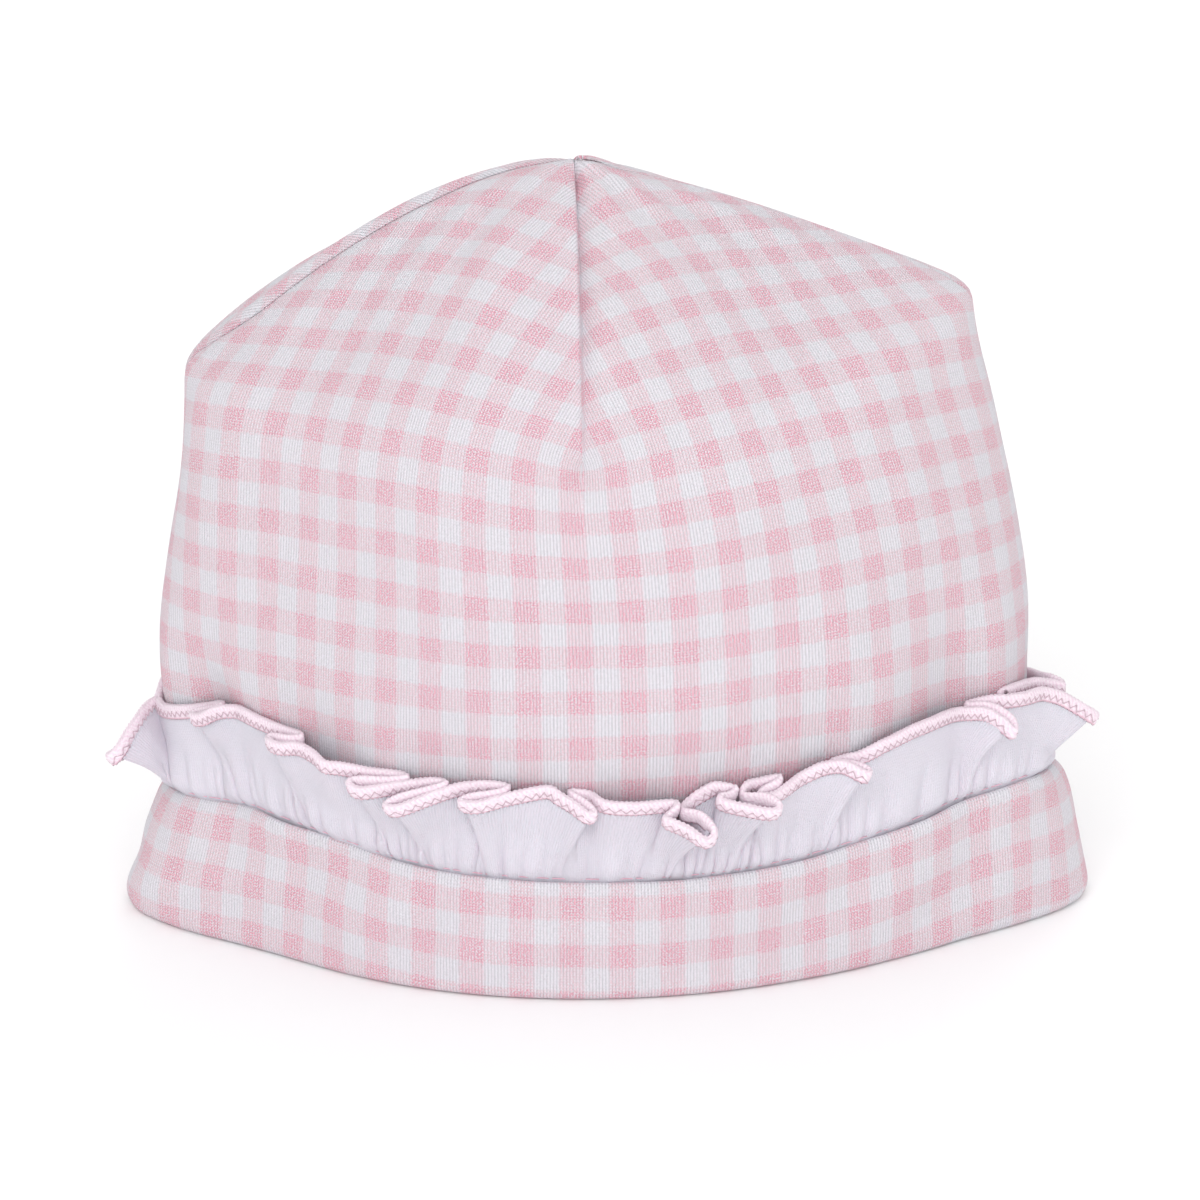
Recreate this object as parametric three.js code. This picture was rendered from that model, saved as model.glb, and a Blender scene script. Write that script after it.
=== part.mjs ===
// Baby's pull-on hat: a gingham knit crown of two darted panels, a turned-up gingham cuff and a
// white gathered ruffle with an overlocked edge, standing on its rim as it would on a table.
// Millimetres. Z is up, the front faces -Y and the wearer's right side seam is at -X.
// A turn round the hat is counted in degrees: 0 at the left seam as seen from the front,
// 90 at the middle of the front, 180 at the right seam and 270 at the middle of the back.
import * as THREE from "three";
import { mergeVertices } from "three/addons/utils/BufferGeometryUtils.js";

// Driving dimensions of the crown
const crownHalfWidth = 69.5;
const crownHalfDepth = 44;
const crownHeight = 117.3;
const crownWall = 1.2;
const sideSeamGap = 0.3;

// Driving dimensions of the cuff
const cuffHeight = 20.4;
const cuffInnerHeight = 10.7;
const cuffWall = 1.5;
const cuffFlareFront = 5.7;
const cuffFlareSide = 9.7;
const restWidth = 2;
const foldRadius = 2;

// Driving dimensions of the ruffle
const ruffleHeight = 16.2;
const ruffleTuck = 4;
const ruffleStanding = 1.2;
const ruffleWall = 1;
const ruffleLean = 0.05;
const edgingWidth = 2.2;
const edgingThickness = 1.6;

// Clearances between pieces that are sewn to each other, and on each side of the ruffle in the cuff
const pieceGap = 0.3;
const slotGap = 0.45;

// Upright part of the crown, from its lower edge to the line where the darts end. Half widths are
// shares of crownHalfWidth, the depth of crownHalfDepth, and pinch draws the oval in beside the seams.
const wallSections = [
  { up: 0.0, left: 0.975, right: 0.975, deep: 0.86, pinch: 0.095 },
  { up: 0.12, left: 0.972, right: 0.972, deep: 0.863, pinch: 0.095 },
  { up: 0.3, left: 1.029, right: 0.963, deep: 0.955, pinch: 0.085 },
  { up: 0.45, left: 1.038, right: 0.963, deep: 1.0, pinch: 0.07 },
  { up: 0.6, left: 1.018, right: 0.935, deep: 1.0, pinch: 0.06 },
  { up: 0.78, left: 0.985, right: 0.885, deep: 0.985, pinch: 0.05 },
  { up: 1.0, left: 0.974, right: 0.829, deep: 0.955, pinch: 0.05 },
];

// Each seam of the crown's top: where its dart ends, as a share of crownHeight, how fully the
// cloth rounds over from there to the point, and how deep the seam lies, as a share of the depth.
const topSeams = {
  left: { dartEnd: 0.703, fullness: 1.9, dip: 0.01 },
  front: { dartEnd: 0.688, fullness: 2.0, dip: 0.03 },
  right: { dartEnd: 0.806, fullness: 1.4, dip: 0.01 },
  back: { dartEnd: 0.688, fullness: 1.6, dip: 0.03 },
};
const pointShift = -0.069;
const middleSeamShift = -0.062;
const quarterHollow = 0.12;
const seamSpread = 7;

// Creases and dents of the upright part: turn and width in degrees, place and length as shares of
// its height, depth as a share of crownHalfDepth.
const dents = [
  { at: 24, across: 9, up: 0.26, tall: 0.17, deep: 0.06 },
  { at: 154, across: 8, up: 0.3, tall: 0.24, deep: 0.05 },
  { at: 88, across: 8, up: 0.97, tall: 0.09, deep: 0.03 },
  { at: 212, across: 9, up: 0.25, tall: 0.2, deep: 0.04 },
  { at: 331, across: 9, up: 0.3, tall: 0.22, deep: 0.05 },
];

// The cuff's top edge rises beside the seams, by this share of cuffHeight
const cuffRise = 0.11;

// Folds of the ruffle: turn of the crest, how far the free edge stands out as a share of
// ruffleHeight, and half the width of the fold in degrees.
const ruffleFolds = [
  { at: 8, reach: 0.7, spread: 9 },
  { at: 18, reach: 0.26, spread: 6 },
  { at: 31, reach: 0.08, spread: 8 },
  { at: 45, reach: 0.26, spread: 6 },
  { at: 54, reach: 0.38, spread: 6 },
  { at: 63, reach: 0.44, spread: 5 },
  { at: 72, reach: 0.34, spread: 5 },
  { at: 80, reach: 0.1, spread: 5 },
  { at: 89, reach: 0.4, spread: 6 },
  { at: 98, reach: 0.64, spread: 6 },
  { at: 109, reach: 0.5, spread: 6 },
  { at: 119, reach: 0.1, spread: 6 },
  { at: 129, reach: 0.26, spread: 7 },
  { at: 145, reach: 0.12, spread: 10 },
  { at: 161, reach: 0.42, spread: 6 },
  { at: 174, reach: 0.62, spread: 8 },
  { at: 190, reach: 0.44, spread: 8 },
  { at: 205, reach: 0.34, spread: 7 },
  { at: 219, reach: 0.3, spread: 7 },
  { at: 232, reach: 0.4, spread: 7 },
  { at: 245, reach: 0.32, spread: 6 },
  { at: 257, reach: 0.38, spread: 6 },
  { at: 270, reach: 0.46, spread: 7 },
  { at: 283, reach: 0.3, spread: 6 },
  { at: 296, reach: 0.38, spread: 7 },
  { at: 310, reach: 0.3, spread: 7 },
  { at: 324, reach: 0.36, spread: 7 },
  { at: 338, reach: 0.3, spread: 7 },
  { at: 351, reach: 0.36, spread: 7 },
];

// Facets
const panelColumns = 30;
const wallUps = [0, 0.06, 0.12, 0.18, 0.24, 0.3, 0.38, 0.5, 0.62, 0.75, 0.88, 1];
const topRows = 9;
const cuffColumns = 72;
const ruffleColumns = 144;

const crownBottom = cuffInnerHeight + pieceGap;
const crownPeak = crownBottom + crownHeight;
const slotWidth = ruffleWall + 2 * slotGap;
const radians = THREE.MathUtils.degToRad;
const mix = THREE.MathUtils.lerp;

// A smooth curve through one column of a table
function tableCurve(rows, column) {
  const places = rows.map((row) => row.up);
  const values = rows.map((row) => row[column]);
  const curve = new THREE.CubicInterpolant(places, values, 1);
  return (up) => curve.evaluate(THREE.MathUtils.clamp(up, 0, 1))[0];
}

const leftShare = tableCurve(wallSections, "left");
const rightShare = tableCurve(wallSections, "right");
const deepShare = tableCurve(wallSections, "deep");
const pinchShare = tableCurve(wallSections, "pinch");

// A value of the four seams blended round the hat
function betweenSeams(turn, value) {
  const along = Math.cos(radians(turn));
  const across = Math.sin(radians(turn));
  const side = along > 0 ? value.left : value.right;
  const middle = across > 0 ? value.front : value.back;
  return side * along * along + middle * across * across;
}

function seamValues(column) {
  return Object.fromEntries(Object.entries(topSeams).map(([name, seam]) => [name, seam[column]]));
}

const dartEnds = seamValues("dartEnd");
const fullnesses = seamValues("fullness");
const dips = seamValues("dip");

function shoulderHeight(turn) {
  return crownBottom + crownHeight * betweenSeams(turn, dartEnds);
}

// Where the oval is drawn in and the cuff rises: none at the seams, most a little beside the side seams
function besideSeams(turn) {
  return Math.sin(2 * radians(turn)) ** 2 * (0.5 + Math.cos(radians(turn)) ** 2);
}

function bump(distance, width) {
  return Math.exp(-((distance / width) ** 2));
}

// Outer face of the upright part at a turn and a share of its height
function wallPoint(turn, up) {
  const along = Math.cos(radians(turn));
  const across = Math.sin(radians(turn));
  const halfWidth = crownHalfWidth * (along > 0 ? leftShare(up) : rightShare(up));
  const halfDepth = crownHalfDepth * deepShare(up);
  const drawnIn = 1 - pinchShare(up) * besideSeams(turn);
  const outward = new THREE.Vector2(-along / halfWidth, -across / halfDepth).normalize();
  const dent = dents
    .map((row) => crownHalfDepth * row.deep * bump(turn - row.at, row.across) * bump(up - row.up, row.tall))
    .reduce((sum, depth) => sum + depth, 0);
  return new THREE.Vector3(
    -halfWidth * along * drawnIn + crownHalfWidth * middleSeamShift * across ** 2 - outward.x * dent,
    -halfDepth * across * drawnIn - outward.y * dent,
    mix(crownBottom, shoulderHeight(turn), up),
  );
}

// Outer face of the rounded top, from the dart ends (share 1) to the point (share 0)
function topPoint(turn, share) {
  const edge = wallPoint(turn, 1);
  const quarter = Math.sin(2 * radians(turn)) ** 2;
  const middle = Math.sin(Math.PI * share);
  const reach = share * (1 - quarterHollow * quarter * middle);
  const fromSeam = Math.abs(((turn + 45) % 90) - 45);
  const dip = crownHalfDepth * betweenSeams(turn, dips) * bump(fromSeam, seamSpread / Math.max(share, 0.3));
  const pointX = crownHalfWidth * pointShift;
  const rounded = 1 - share ** betweenSeams(turn, fullnesses);
  return new THREE.Vector3(
    mix(pointX, edge.x, reach),
    edge.y * reach,
    mix(edge.z, crownPeak, rounded) - dip * middle,
  );
}

// The crown's outline at a height, moved outwards by an offset
function outlinePoint(turn, height, offset) {
  const up = Math.max(0, (height - crownBottom) / (shoulderHeight(turn) - crownBottom));
  const step = 0.5;
  const before = wallPoint(turn - step, up);
  const after = wallPoint(turn + step, up);
  const outward = new THREE.Vector2(after.y - before.y, before.x - after.x).normalize();
  const here = wallPoint(turn, up);
  return new THREE.Vector3(here.x + outward.x * offset, here.y + outward.y * offset, height);
}

// Two faces, each a list of rows of points, closed along their edges into one solid. Points that
// fall together are merged, and triangles that vanish there are left out.
function closedSheet(outside, inside, goesRound) {
  const rowCount = outside.length;
  const columnCount = outside[0].length;
  const points = [...outside.flat(), ...inside.flat()];
  const place = (face, row, column) => (face * rowCount + row) * columnCount + (column % columnCount);
  const triangles = [];
  const addQuad = (a, b, c, d) => triangles.push([a, b, c], [a, c, d]);
  const lastColumn = goesRound ? columnCount : columnCount - 1;
  for (let column = 0; column < lastColumn; column += 1) {
    for (let row = 0; row < rowCount - 1; row += 1) {
      addQuad(place(0, row, column), place(0, row, column + 1),
        place(0, row + 1, column + 1), place(0, row + 1, column));
      addQuad(place(1, row, column), place(1, row + 1, column),
        place(1, row + 1, column + 1), place(1, row, column + 1));
    }
    addQuad(place(0, 0, column), place(1, 0, column), place(1, 0, column + 1), place(0, 0, column + 1));
    const top = rowCount - 1;
    addQuad(place(0, top, column), place(0, top, column + 1), place(1, top, column + 1), place(1, top, column));
  }
  for (let row = 0; !goesRound && row < rowCount - 1; row += 1) {
    const end = columnCount - 1;
    addQuad(place(0, row, 0), place(0, row + 1, 0), place(1, row + 1, 0), place(1, row, 0));
    addQuad(place(0, row, end), place(1, row, end), place(1, row + 1, end), place(0, row + 1, end));
  }
  return meshGeometry(points, triangles);
}

function meshGeometry(points, triangles) {
  const loose = new THREE.BufferGeometry().setFromPoints(points);
  loose.setIndex(triangles.flat());
  const merged = mergeVertices(loose, 1e-3);
  const corners = Array.from(merged.index.array);
  const kept = [];
  for (let first = 0; first < corners.length; first += 3) {
    const [a, b, c] = corners.slice(first, first + 3);
    if (a !== b && b !== c && c !== a) kept.push(a, b, c);
  }
  merged.setIndex(kept);
  merged.computeVertexNormals();
  return merged;
}

// Rows of a face moved along its own normals
function offsetRows(rows, goesRound, distance) {
  const columnCount = rows[0].length;
  return rows.map((row, rowIndex) => row.map((point, column) => {
    const wrap = (index) => (index + columnCount) % columnCount;
    const last = columnCount - 1;
    const before = goesRound ? row[wrap(column - 1)] : row[Math.max(column - 1, 0)];
    const after = goesRound ? row[wrap(column + 1)] : row[Math.min(column + 1, last)];
    const below = rows[Math.max(rowIndex - 1, 0)][column];
    const above = rows[Math.min(rowIndex + 1, rows.length - 1)][column];
    const across = after.clone().sub(before);
    const upward = above.clone().sub(below);
    return point.clone().addScaledVector(across.cross(upward).normalize(), distance);
  }));
}

function evenly(count, first, last) {
  return Array.from({ length: count }, (_, index) => mix(first, last, index / (count - 1)));
}

// One crown panel, between the two side seams, hollow inside
function crownPanel(firstTurn) {
  const middleY = firstTurn < 180 ? -sideSeamGap / 2 : sideSeamGap / 2;
  const crowding = 4;
  const turns = evenly(panelColumns + 1, firstTurn, firstTurn + 180)
    .map((turn) => turn - crowding * Math.sin(4 * radians(turn)));
  const topShares = evenly(topRows + 1, 1, 0).slice(1, -1);
  const outside = [
    ...wallUps.map((up) => turns.map((turn) => wallPoint(turn, up))),
    ...topShares.map((share) => turns.map((turn) => topPoint(turn, share))),
  ];
  const inside = offsetRows(outside, false, -crownWall);
  inside[0].forEach((point) => { point.z = crownBottom; });
  const peak = new THREE.Vector3(crownHalfWidth * pointShift, 0, crownPeak);
  outside.push(turns.map(() => peak.clone()));
  inside.push(turns.map(() => peak.clone().setZ(crownPeak - crownWall)));
  for (const row of inside) {
    row[0].y = 0;
    row[panelColumns].y = 0;
  }
  return closedSheet(outside, inside, false).translate(0, middleY, 0);
}

// The cuff: cloth folded under at the rim, open upwards between its two legs
function cuffTop(turn) {
  return cuffHeight * (1 + cuffRise * besideSeams(turn));
}

function cuffSection(turn) {
  const flare = mix(cuffFlareFront, cuffFlareSide, Math.cos(radians(turn)) ** 2);
  const top = cuffTop(turn);
  const legTop = slotWidth + cuffWall;
  const halfway = (height) => mix(flare, legTop, (height - foldRadius) / (top - foldRadius));
  const restOuter = flare - foldRadius;
  const restInner = restOuter - restWidth;
  const innerLeg = -crownWall / 2 - cuffWall / 2;
  const middle = (top + foldRadius) / 2;
  return [
    { offset: legTop, height: top },
    { offset: halfway(middle), height: middle },
    { offset: flare, height: foldRadius * 1.3 },
    { offset: flare - foldRadius * 0.3, height: foldRadius * 0.35 },
    { offset: restOuter, height: 0 },
    { offset: restInner, height: 0 },
    { offset: restInner - foldRadius * 0.5, height: foldRadius * 0.4 },
    { offset: innerLeg, height: cuffInnerHeight },
    { offset: innerLeg + cuffWall, height: cuffInnerHeight },
    { offset: restInner, height: cuffWall + foldRadius * 0.3 },
    { offset: restOuter, height: cuffWall },
    { offset: flare - cuffWall, height: foldRadius * 1.6 },
    { offset: halfway(middle) - cuffWall, height: middle },
    { offset: slotWidth, height: top },
  ];
}

function cuffGeometry() {
  const turns = evenly(cuffColumns + 1, 0, 360).slice(0, -1);
  const sections = turns.map((turn) => cuffSection(turn)
    .map(({ offset, height }) => outlinePoint(turn, height, offset)));
  const around = sections[0].length;
  const place = (turn, corner) => (turn % cuffColumns) * around + (corner % around);
  const triangles = [];
  for (let turn = 0; turn < cuffColumns; turn += 1) {
    for (let corner = 0; corner < around; corner += 1) {
      const [a, b] = [place(turn, corner), place(turn, corner + 1)];
      const [c, d] = [place(turn + 1, corner + 1), place(turn + 1, corner)];
      triangles.push([a, b, c], [a, c, d]);
    }
  }
  return meshGeometry(sections.flat(), triangles);
}

// How far the ruffle's free edge stands out at a turn, as a share of ruffleHeight
function ruffleReach(turn) {
  const folds = ruffleFolds.map((fold) => {
    const away = Math.abs(((turn - fold.at + 540) % 360) - 180);
    return away < fold.spread ? fold.reach * Math.cos((Math.PI / 2) * (away / fold.spread)) ** 2 : 0;
  });
  return Math.max(...folds);
}

// Middle of the ruffle's cloth at a distance from the cuff's top edge, negative below it. It
// stands up straight out of the cuff before it fans out.
function rufflePoint(turn, distance) {
  const held = Math.min(distance, ruffleStanding);
  const free = Math.max(distance - ruffleStanding, 0);
  const reach = ruffleReach(turn);
  const height = cuffTop(turn) + held + free * Math.sqrt(1 - reach * reach);
  return outlinePoint(turn, height, slotWidth / 2 + free * (ruffleLean + reach));
}

function ruffleStrip(distances, thicknesses) {
  const turns = evenly(ruffleColumns + 1, 0, 360).slice(0, -1);
  const middle = distances.map((distance) => turns.map((turn) => rufflePoint(turn, distance)));
  const face = (side) => middle.map((_, row) => offsetRows(middle, true, side * thicknesses[row] / 2)[row]);
  return closedSheet(face(1), face(-1), true);
}

function ruffleGeometry() {
  const clothTop = ruffleHeight - edgingWidth;
  const fanned = [1 / 3, 2 / 3, 1].map((share) => mix(ruffleStanding, clothTop, share));
  const distances = [-ruffleTuck, ruffleStanding, ...fanned];
  return ruffleStrip(distances, distances.map(() => ruffleWall));
}

function edgingGeometry() {
  const lower = ruffleHeight - edgingWidth + pieceGap;
  const distances = [lower, (lower + ruffleHeight) / 2, ruffleHeight];
  const rounded = 0.55;
  return ruffleStrip(distances, [edgingThickness * rounded, edgingThickness, edgingThickness * rounded]);
}

function piece(name, geometry, color, roughness) {
  const mesh = new THREE.Mesh(geometry, new THREE.MeshStandardMaterial({ color, roughness, metalness: 0 }));
  mesh.name = name;
  return mesh;
}

const gingham = 0xf3c4cc;
const white = 0xf3eff4;
const palePink = 0xf4d3de;

const hat = new THREE.Group();
hat.add(
  piece("crown_front", crownPanel(0), gingham, 0.9),
  piece("crown_back", crownPanel(180), gingham, 0.9),
  piece("cuff", cuffGeometry(), gingham, 0.9),
  piece("ruffle", ruffleGeometry(), white, 0.88),
  piece("ruffle_edging", edgingGeometry(), palePink, 0.75),
);

// The origin is under the middle of the hat, on the surface that it stands on
const size = new THREE.Box3().setFromObject(hat);
const centre = size.getCenter(new THREE.Vector3());
hat.position.set(-centre.x, -centre.y, -size.min.z);

export default hat;
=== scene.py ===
import math

import bmesh
import bpy
import numpy as np
from mathutils import Matrix, Vector


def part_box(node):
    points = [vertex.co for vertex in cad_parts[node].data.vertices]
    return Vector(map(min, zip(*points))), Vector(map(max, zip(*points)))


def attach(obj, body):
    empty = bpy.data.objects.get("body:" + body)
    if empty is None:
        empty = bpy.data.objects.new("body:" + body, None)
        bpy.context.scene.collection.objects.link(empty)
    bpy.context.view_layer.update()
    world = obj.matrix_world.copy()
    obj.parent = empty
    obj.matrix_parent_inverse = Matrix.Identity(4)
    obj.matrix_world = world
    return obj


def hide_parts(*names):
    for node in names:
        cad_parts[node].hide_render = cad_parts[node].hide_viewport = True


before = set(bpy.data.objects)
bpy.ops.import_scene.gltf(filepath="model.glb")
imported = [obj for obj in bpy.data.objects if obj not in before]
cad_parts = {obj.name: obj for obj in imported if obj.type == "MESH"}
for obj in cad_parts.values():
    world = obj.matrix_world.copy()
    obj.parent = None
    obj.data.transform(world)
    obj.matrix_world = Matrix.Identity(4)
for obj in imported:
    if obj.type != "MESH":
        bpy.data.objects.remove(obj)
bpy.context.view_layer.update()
mm = 0.001

# Sizes that the solid model's boxes don't give
HALF_DEPTH = 44
CROWN_WALL = 1.2
CUFF_HEIGHT = 20.4
CUFF_INNER_HEIGHT = 10.7
CUFF_WALL = 1.5
RUFFLE_HEIGHT = 16.2
RUFFLE_WALL = 0.9
# How far inside the cuff's outer face the ruffle is sewn in
SEWN_IN = 1.93

# The crown's upright wall, from its lower edge to the dart ends. Each row: how far up it is, its half
# width to the left and to the right, its half depth, and how far it is drawn in beside the seams, all
# as shares
WALL = [
    (0.0, 0.975, 0.975, 0.86, 0.095),
    (0.12, 0.972, 0.972, 0.863, 0.095),
    (0.3, 1.029, 0.963, 0.955, 0.085),
    (0.45, 1.038, 0.963, 1.0, 0.07),
    (0.6, 1.018, 0.935, 1.0, 0.06),
    (0.78, 0.985, 0.885, 0.985, 0.05),
    (1.0, 0.974, 0.829, 0.955, 0.05),
]
# The seams of the top, in the order left, front, right and back: where each dart ends, as a share of
# the height, how fully the cloth rounds over to the point, and how deep the seam lies
DART_ENDS = (0.703, 0.688, 0.806, 0.688)
FULLNESS = (1.75, 2.0, 1.28, 1.6)
DIPS = (0.01, 0.03, 0.01, 0.03)
# How far the point and the middles of the front and back lie to the right, as shares of the half width
POINT_SHIFT = -0.083
MIDDLE_SHIFT = -0.062
QUARTER_HOLLOW = 0.12
SEAM_SPREAD = 7
CUFF_RISE = 0.11
# The plain top ends this far below the solid's highest place, because the nub at the point stands on it
NUB_ROOM = 0.8
# How much of the height and of the top the shoulder's bend takes, at the side seams and added between them
SHARP_BEND = 0.012
SOFT_BEND = 0.15
# A degree round the hat is about this long, in mm
DEGREE = 1.1
# Creases and dents of the wall: turn, width in degrees, up, tall, depth as a share of the half depth
DENTS = [
    (24, 9, 0.26, 0.17, 0.06),
    (154, 8, 0.3, 0.24, 0.05),
    (88, 8, 0.97, 0.09, 0.03),
    (212, 9, 0.25, 0.2, 0.04),
    (331, 9, 0.3, 0.22, 0.05),
]

front_low, front_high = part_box("crown_front")
back_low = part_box("crown_back")[0]
HALF_WIDTH = (front_high.x - front_low.x) / mm / (max(row[1] for row in WALL) + WALL[0][2])
MIDDLE_X = front_low.x / mm + HALF_WIDTH * max(row[1] for row in WALL)
MIDDLE_Y = (front_high.y + back_low.y) / 2 / mm
CROWN_BOTTOM = front_low.z / mm
CROWN_PEAK = front_high.z / mm - NUB_ROOM
CROWN_HEIGHT = CROWN_PEAK - CROWN_BOTTOM


def in_frame(points):
    """Points in millimetres round the crown's middle, as places in the frame in metres."""
    return (np.asarray(points) + (MIDDLE_X, MIDDLE_Y, 0)) * mm


def smooth_step(value, low, high):
    share = np.clip((value - low) / (high - low), 0, 1)
    return share * share * (3 - 2 * share)


def hump(distance, width):
    return np.exp(-((distance / width) ** 2))


def turned(turn, other):
    """How far one turn is past another, from -180 to 180 degrees."""
    return (turn - other + 180) % 360 - 180


def table_curve(column):
    """A smooth curve through one column of the wall's table."""
    ups, values = (np.array([row[k] for row in WALL]) for k in (0, column))
    secants = np.diff(values) / np.diff(ups)
    slopes = np.concatenate([[0], (secants[:-1] + secants[1:]) / 2, [0]])

    def value(up):
        up = np.clip(up, 0, 1)
        k = np.clip(np.searchsorted(ups, up, side="right") - 1, 0, len(ups) - 2)
        span = ups[k + 1] - ups[k]
        p = (up - ups[k]) / span
        rise = slopes[k] * p * (1 - p) ** 2 - slopes[k + 1] * p * p * (1 - p)
        return values[k] * (1 + 2 * p) * (1 - p) ** 2 + values[k + 1] * p * p * (3 - 2 * p) + span * rise

    return value


left_share, right_share, deep_share, pinch_share = (table_curve(k) for k in (1, 2, 3, 4))


def between_seams(turn, seams):
    """A value of the four seams blended round the hat."""
    left, front, right, back = seams
    along, across = np.cos(np.radians(turn)), np.sin(np.radians(turn))
    side = np.where(along > 0, left, right)
    middle = np.where(across > 0, front, back)
    return side * along**2 + middle * across**2


def beside_seams(turn):
    return np.sin(2 * np.radians(turn)) ** 2 * (0.5 + np.cos(np.radians(turn)) ** 2)


def shoulder_height(turn):
    return CROWN_BOTTOM + CROWN_HEIGHT * between_seams(turn, DART_ENDS)


def wall_point(turn, up):
    """Outer face of the crown's upright part."""
    turn, up = np.broadcast_arrays(np.asarray(turn, float), np.asarray(up, float))
    along, across = np.cos(np.radians(turn)), np.sin(np.radians(turn))
    half_width = HALF_WIDTH * np.where(along > 0, left_share(up), right_share(up))
    half_depth = HALF_DEPTH * deep_share(up)
    drawn_in = 1 - pinch_share(up) * beside_seams(turn)
    out_x, out_y = -along / half_width, -across / half_depth
    length = np.hypot(out_x, out_y)
    dent = sum(HALF_DEPTH * deep * hump(turned(turn, at), wide) * hump(up - middle, tall)
               for at, wide, middle, tall, deep in DENTS)
    return np.stack([
        -half_width * along * drawn_in + HALF_WIDTH * MIDDLE_SHIFT * across**2 - out_x / length * dent,
        -half_depth * across * drawn_in - out_y / length * dent,
        CROWN_BOTTOM + (shoulder_height(turn) - CROWN_BOTTOM) * up,
    ], -1)


def top_point(turn, share):
    """Outer face of the rounded top, from the dart ends, share 1, to the point, share 0."""
    turn, share = np.broadcast_arrays(np.asarray(turn, float), np.asarray(share, float))
    edge = wall_point(turn, 1)
    quarter, middle = np.sin(2 * np.radians(turn)) ** 2, np.sin(np.pi * share)
    reach = share * (1 - QUARTER_HOLLOW * quarter * middle)
    from_seam = np.abs((turn + 45) % 90 - 45)
    dip = HALF_DEPTH * between_seams(turn, DIPS) * hump(from_seam, SEAM_SPREAD / np.maximum(share, 0.3))
    point_x = HALF_WIDTH * POINT_SHIFT
    rounded = 1 - share ** between_seams(turn, FULLNESS)
    return np.stack([
        point_x + (edge[..., 0] - point_x) * reach,
        edge[..., 1] * reach,
        edge[..., 2] + (CROWN_PEAK - edge[..., 2]) * rounded - dip * middle,
    ], -1)


def plain_crown(turn, along):
    """The crown without its seams: along runs from 0 at the lower edge, past 1 at the dart ends, to 2 at
    the point. The cloth turns over in a soft shoulder at the front and back and sharply at the sides."""
    along = np.clip(along, 0, 2)
    soft = SHARP_BEND + SOFT_BEND * np.abs(np.sin(np.radians(turn))) ** 1.2
    share = np.clip((along - 1 + soft) / (2 * soft), 0, 1)[..., None]
    before, corner, after = wall_point(turn, 1 - soft), wall_point(turn, 1), top_point(turn, 1 - soft)
    turned_over = before * (1 - share) ** 2 + 2 * corner * share * (1 - share) + after * share**2
    plain = np.where(along[..., None] < 1, wall_point(turn, along), top_point(turn, 2 - along))
    return np.where(np.abs(along - 1)[..., None] < soft[..., None], turned_over, plain)


def outline_point(turn, height, offset):
    """The crown's outline at a height, moved outwards by an offset."""
    up = np.maximum(0, (height - CROWN_BOTTOM) / (shoulder_height(turn) - CROWN_BOTTOM))
    before, after, here = wall_point(turn - 0.5, up), wall_point(turn + 0.5, up), wall_point(turn, up)
    out_x, out_y = after[..., 1] - before[..., 1], before[..., 0] - after[..., 0]
    length = np.hypot(out_x, out_y)
    return np.stack([
        here[..., 0] + out_x / length * offset,
        here[..., 1] + out_y / length * offset,
        np.broadcast_to(height, length.shape),
    ], -1)


def cuff_top(turn):
    return CUFF_HEIGHT * (1 + CUFF_RISE * beside_seams(turn))


def ripples(x, y, seed, sizes, depths):
    """Gentle unevenness of cloth: waves of each size, in mm, crossing in directions drawn once."""
    draw = np.random.default_rng(seed)
    total = 0
    for size, depth in zip(sizes, depths):
        for _ in range(4):
            angle, start = draw.uniform(0, 2 * math.pi, 2)
            length = size * draw.uniform(0.8, 1.3)
            run = x * math.cos(angle) + y * math.sin(angle)
            total = total + depth / 2 * np.sin(2 * math.pi * run / length + start)
    return total


def spline(before, start, end, after, share):
    """A smooth run from start to end that heads for the places before and after them."""
    return 0.5 * (2 * start + (end - before) * share + (2 * before - 5 * start + 4 * end - after) * share**2
                  + (3 * start - before - 3 * end + after) * share**3)


def lengths_along(points):
    """How far along a line through places each of them is."""
    return np.concatenate([[0], np.cumsum(np.linalg.norm(np.diff(points, axis=0), axis=-1))])


def grid_step(place, steps):
    """Which step of a grid a place from -1 to 1 on it is."""
    return np.rint((place + 1) / 2 * steps).astype(int)


# Crown
PANEL_COLUMNS = 96
PANEL_ROWS = 76
# How much closer the columns stand at the dart and the side seams
SEAM_CROWDING = 0.8
# Half the way between the two panels at the side seams
SIDE_GAP = 0.012
SEAM_SHARPNESS = 0.75
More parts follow.
